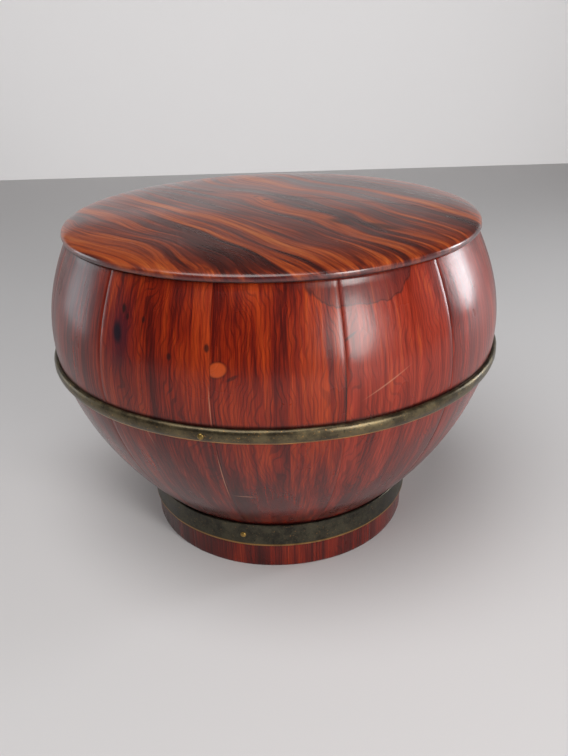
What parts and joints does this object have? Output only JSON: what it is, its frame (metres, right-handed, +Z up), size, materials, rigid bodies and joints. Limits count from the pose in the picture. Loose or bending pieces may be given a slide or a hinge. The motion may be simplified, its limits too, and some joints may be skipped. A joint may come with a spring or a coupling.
{
  "type": "lidded wooden bowl",
  "caption": "Round-bellied coopered wooden bowl on a straight foot, bound by two brass hoops, with a flat boarded lid that lifts off.",
  "frame": {"origin": "centre of the foot's underside, on the surface that the bowl stands on", "axes": "+Z up along the bowl's axis, -Y towards the pictured front, +X to the right as pictured"},
  "size_m": [0.2904, 0.2906, 0.2137],
  "materials": {
    "lacquered_wood": "aged glossy lacquer over red-brown wood",
    "lid_wood": "aged glossy lacquer over streaked wood",
    "plain_wood": "plain worn wood",
    "bamboo": "split bamboo",
    "aged_brass": "aged brass with dark patina"
  },
  "bodies": {
    "vessel": {"stave_01": "lacquered_wood", "stave_02": "lacquered_wood", "stave_03": "lacquered_wood", "stave_04": "lacquered_wood", "stave_05": "lacquered_wood", "stave_06": "lacquered_wood", "stave_07": "lacquered_wood", "stave_08": "lacquered_wood", "stave_09": "lacquered_wood", "stave_10": "lacquered_wood", "stave_11": "lacquered_wood", "stave_12": "lacquered_wood", "stave_13": "lacquered_wood", "stave_pin_01": "bamboo", "stave_pin_02": "bamboo", "stave_pin_03": "bamboo", "stave_pin_04": "bamboo", "stave_pin_05": "bamboo", "stave_pin_06": "bamboo", "stave_pin_07": "bamboo", "stave_pin_08": "bamboo", "stave_pin_09": "bamboo", "stave_pin_10": "bamboo", "stave_pin_11": "bamboo", "stave_pin_12": "bamboo", "stave_pin_13": "bamboo", "bottom_board_front": "plain_wood", "bottom_board_middle": "plain_wood", "bottom_board_back": "plain_wood", "bottom_pin_1": "bamboo", "bottom_pin_2": "bamboo", "bottom_pin_3": "bamboo", "bottom_pin_4": "bamboo", "belly_hoop": "aged_brass", "foot_hoop": "aged_brass", "belly_tack_front": "aged_brass", "belly_tack_back": "aged_brass", "foot_tack_front": "aged_brass", "foot_tack_back": "aged_brass"},
    "lid": {"lid_board_front": "lid_wood", "lid_board_middle": "lid_wood", "lid_board_back": "lid_wood", "lid_pin_1": "bamboo", "lid_pin_2": "bamboo", "lid_pin_3": "bamboo", "lid_pin_4": "bamboo", "lid_batten_left": "plain_wood", "lid_batten_right": "plain_wood", "batten_peg_1": "bamboo", "batten_peg_2": "bamboo", "batten_peg_3": "bamboo", "batten_peg_4": "bamboo"}
  },
  "joints": [
    {"name": "lid_lift", "type": "slide", "parent": "vessel", "child": "lid", "axis": [0, 0, 1], "range_m": [0, 0.15]}
  ]
}
